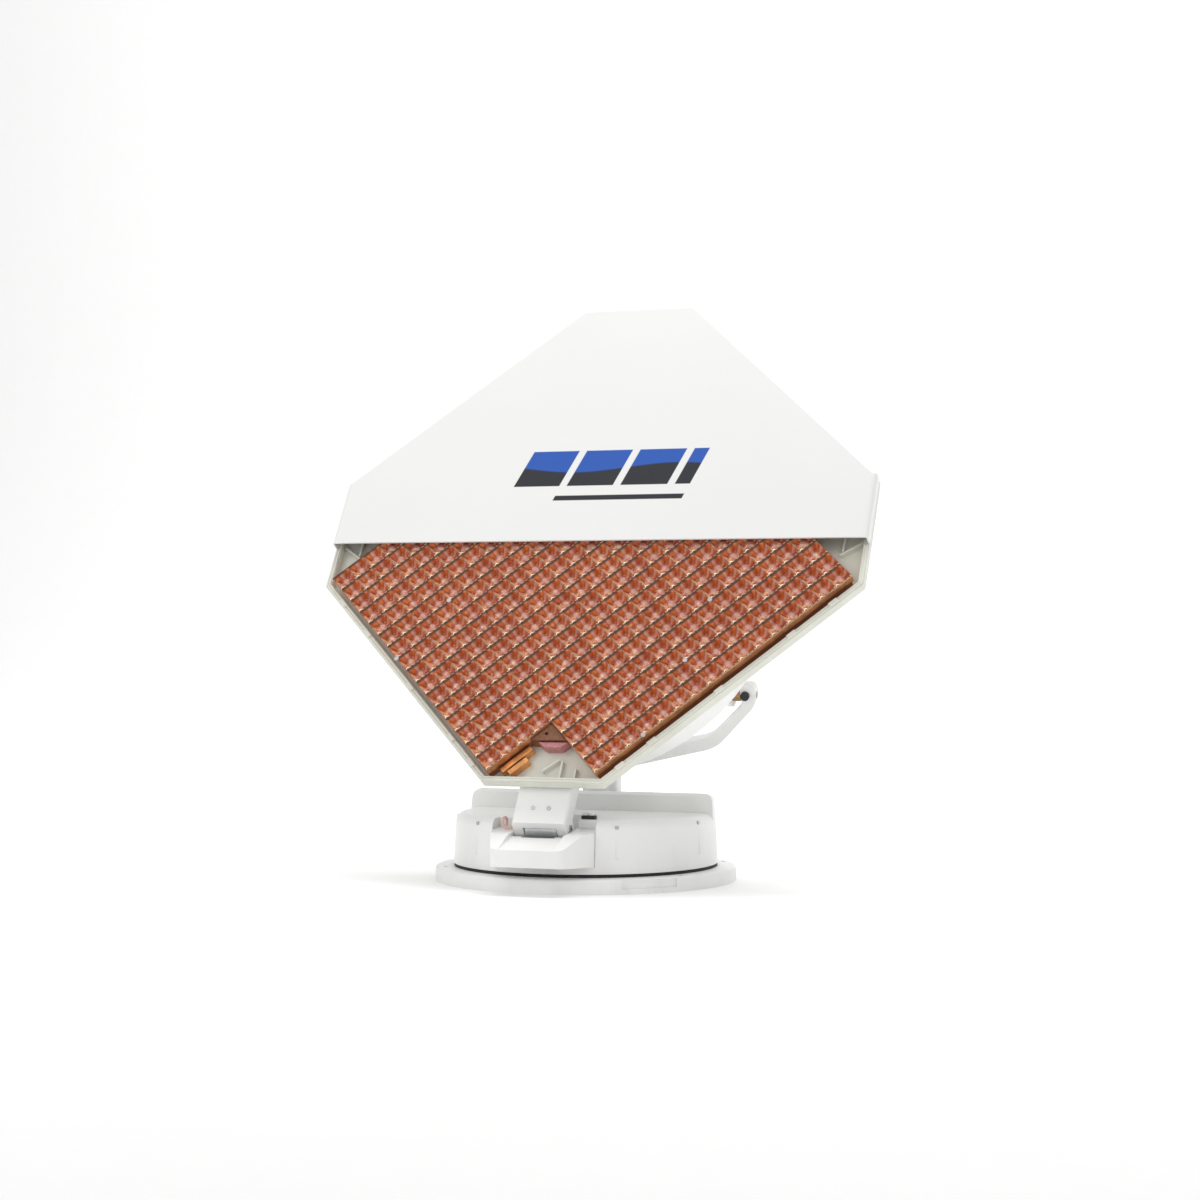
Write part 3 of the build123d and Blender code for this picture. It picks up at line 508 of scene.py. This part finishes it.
# one open horn repeated over the grid; the depth in a cell follows m, the larger of |p| and |q| from
# its middle: a flat lip, a wall down to the throat, and a raised star in the middle
def hornField():
    reach, share = np.array(list(horn.values())).T
    marks = np.concatenate([-reach[::-1], reach])
    p, q = np.meshgrid(marks, marks, indexing="ij")
    fall = np.interp(np.maximum(abs(p), abs(q)), reach, share)
    i, j = np.meshgrid(np.arange(cell["count"]), np.arange(cell["count"]), indexing="ij")
    keep = (i < cell["count"] - cell["notch"]) | (j < cell["count"] - cell["notch"])
    i, j = i[keep], j[keep]
    a = i[:, None, None] + 0.5 + p[None]
    b = j[:, None, None] + 0.5 + q[None]
    step = cell["pitch"] / math.sqrt(2)
    u, v = (a - b) * step, cell["top"] - (a + b) * step
    w = np.broadcast_to(cell["face"] - cell["depth"] * fall, u.shape)
    verts = onPanel(u, v, w).reshape(-1, 3)
    one = np.array(gridFaces(len(marks), len(marks)))
    faces = (one[None] + (np.arange(len(i)) * marks.size ** 2)[:, None, None]).reshape(-1, 4)[:, ::-1]
    return verts, faces.tolist()


# skirt round the array and its flat bottom, from the face down to the plate
def arraySkirt(start):
    step = cell["pitch"] / math.sqrt(2)
    top, side = cell["top"], cell["count"] * step
    foot = cell["notch"] * step
    notchTop = top - 2 * (cell["count"] - cell["notch"]) * step
    outline = np.array([(0, top), (-side, top - side), (-foot, notchTop - foot), (0, notchTop),
                        (foot, notchTop - foot), (side, top - side)])
    heights = np.array([cell["face"], cell["foot"]])
    verts = onPanel(outline[:, 0], outline[:, 1], heights[:, None]).reshape(-1, 3)
    count = len(outline)
    faces = [f[::-1] for f in gridFaces(2, count, closed=True, start=start)]
    bottom = [start + count + k for k in reversed(range(count))]
    return verts, faces + [bottom]


hornVerts, hornFaces = hornField()
skirtVerts, skirtFaces = arraySkirt(len(hornVerts))
hornArray = meshObject("hornArray", np.concatenate([hornVerts, skirtVerts]), hornFaces + skirtFaces,
                       smooth=False)
turnOut(hornArray)
hornArray.data.materials.append(hornPaint())
hornArray.data.materials.append(finishes["copper_array"])
hornArray.data.update()
normals = np.zeros(len(hornArray.data.polygons) * 3)
centres = np.zeros_like(normals)
hornArray.data.polygons.foreach_get("normal", normals)
hornArray.data.polygons.foreach_get("center", centres)
height = (centres.reshape(-1, 3) - panelMid) @ wDir * 1000
upright = abs(normals.reshape(-1, 3) @ wDir) < 0.02
isSkirt = upright | (height < cell["foot"] + 1)
hornArray.data.polygons.foreach_set("material_index", isSkirt.astype(np.int32))
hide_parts("horn_array")
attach(hornArray, "head")
print("horn array:", len(hornArray.data.polygons), "faces")

# the tray's rim: half its width, half a straight side, where the bead stops under the cover, and its section
rimBead = {"half": 284.5, "edge": 61.2, "stop": -17.4,
           "insets": (0.9, 0.9, 1.6, 2.4, 3.0, 3.6, 4.3, 5.0, 5.4, 5.4),
           "heights": (-12.6, -11.2, -10.5, -10.5, -11.3, -11.3, -10.6, -10.6, -11.2, -12.6)}


# a double bead with a groove between, along the lower part of the octagon
def makeRimBead():
    half, edge, stop = rimBead["half"], rimBead["edge"], rimBead["stop"]
    path = [(half, stop), (half, -edge), (edge, -half), (-edge, -half), (-half, -edge), (-half, stop)]
    count = len(path)
    insets, heights = np.array(rimBead["insets"]), np.array(rimBead["heights"])
    # two corners far above close the outline, so that every corner of the path keeps its mitre
    loop = np.array(path + [(-half, 200.0), (half, 200.0)])
    rows = insetRows(loop[::-1], insets)[:, ::-1][:, :count]
    rows[:, 0, 1] = rows[:, -1, 1] = stop
    verts = onPanel(rows[..., 0], rows[..., 1], heights[:, None])
    faces = gridFaces(len(insets), count)
    near = [k * count for k in range(len(insets))]
    far = [k + count - 1 for k in near]
    return turnOut(meshObject("rimBead", verts, faces + [near, far[::-1]], smooth=False))


bead = makeRimBead()
wear(bead, finishes["tray_cream"])
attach(bead, "head")
print("rim bead done")

# CAD shapes shown with rounded edges, and the width of each rounding in metres
roundings = {"fork_mast": 0.0035, "drive_arm": 0.0022, "nose_cover": 0.0022, "tilt_rod": 0.0016,
             "hinge_bracket": 0.001, "deck_socket": 0.0006, "deck_plug": 0.0006, "feed_waveguide": 0.001,
             "feed_bars": 0.0006}
for node, width in roundings.items():
    piece = softened(node, node.replace("_", " ").title().replace(" ", "") + "Rounded", width)
    wear(piece, ownFinish.get(node, finishes[slotOf[node]]))
    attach(piece, bodyOf[node])
print("rounded shells:", len(roundings))

# powers in watts; the sweep is the floor and backdrop, in metres
studio = {"key": 16.0, "fill": 5.0, "top": 8.0, "back": 85.0, "world": 0.70}
sweepSize = {"half": 6.0, "front": -4.0, "bend": 2.6, "radius": 1.2, "height": 5.0}


# floor that curves up into a backdrop: straight, quarter circle, straight
def makeSweep():
    angle = np.linspace(0, math.pi / 2, 24)
    bend, radius = sweepSize["bend"], sweepSize["radius"]
    y = np.concatenate([[sweepSize["front"]], bend + radius * np.sin(angle), [bend + radius]])
    z = np.concatenate([[0.0], radius - radius * np.cos(angle), [sweepSize["height"]]])
    x = np.array([-sweepSize["half"], sweepSize["half"]])
    grid = np.stack(np.broadcast_arrays(x[None], y[:, None], z[:, None]), -1)
    sweep = meshObject("studioSweep", grid, [f[::-1] for f in gridFaces(len(y), 2)])
    paint = Paint("studioPaper")
    fibre = paint.noise(40.0, 3.0)
    base = paint.mix(fibre, (0.93, 0.93, 0.93), (0.95, 0.95, 0.945))
    sweep.data.materials.append(paint.finish(Base_Color=base, Roughness=0.9))


makeSweep()
world = bpy.data.worlds.new("studio")
bpy.context.scene.world = world
world.use_nodes = True
sky = world.node_tree.nodes["Background"]
sky.inputs["Color"].default_value = (1.0, 1.0, 1.0, 1.0)
sky.inputs["Strength"].default_value = studio["world"]


# turns a light or camera at place so that it looks at target
def aim(thing, place, target):
    thing.location = place
    thing.rotation_euler = (Vector(target) - Vector(place)).to_track_quat("-Z", "Y").to_euler()


def areaLight(name, power, size, place, target):
    light = bpy.data.lights.new(name, "AREA")
    light.energy, light.size = power, size
    lamp = bpy.data.objects.new(name, light)
    bpy.context.scene.collection.objects.link(lamp)
    aim(lamp, place, target)


areaLight("keyLight", studio["key"], 1.2, (-1.6, -2.2, 2.2), (0, 0, 0.3))
areaLight("fillLight", studio["fill"], 1.6, (2.4, -1.8, 1.2), (0, 0, 0.3))
areaLight("topLight", studio["top"], 1.4, (0.2, 0.6, 2.4), (0, 0, 0.2))
areaLight("backdropLight", studio["back"], 2.6, (0, 0.9, 3.4), (0, 4.0, 0.4))

camera = bpy.data.objects.new("camera", bpy.data.cameras.new("camera"))
bpy.context.scene.collection.objects.link(camera)
bpy.context.scene.camera = camera
aim(camera, (0.8143, -2.2416, 0.2580), (0.0148, 0.0, 0.2771))
camera.data.sensor_width = 36.0
camera.data.lens = 71.7
camera.data.clip_start = 0.01
bpy.context.scene.view_settings.view_transform = "Standard"
print("studio ready")
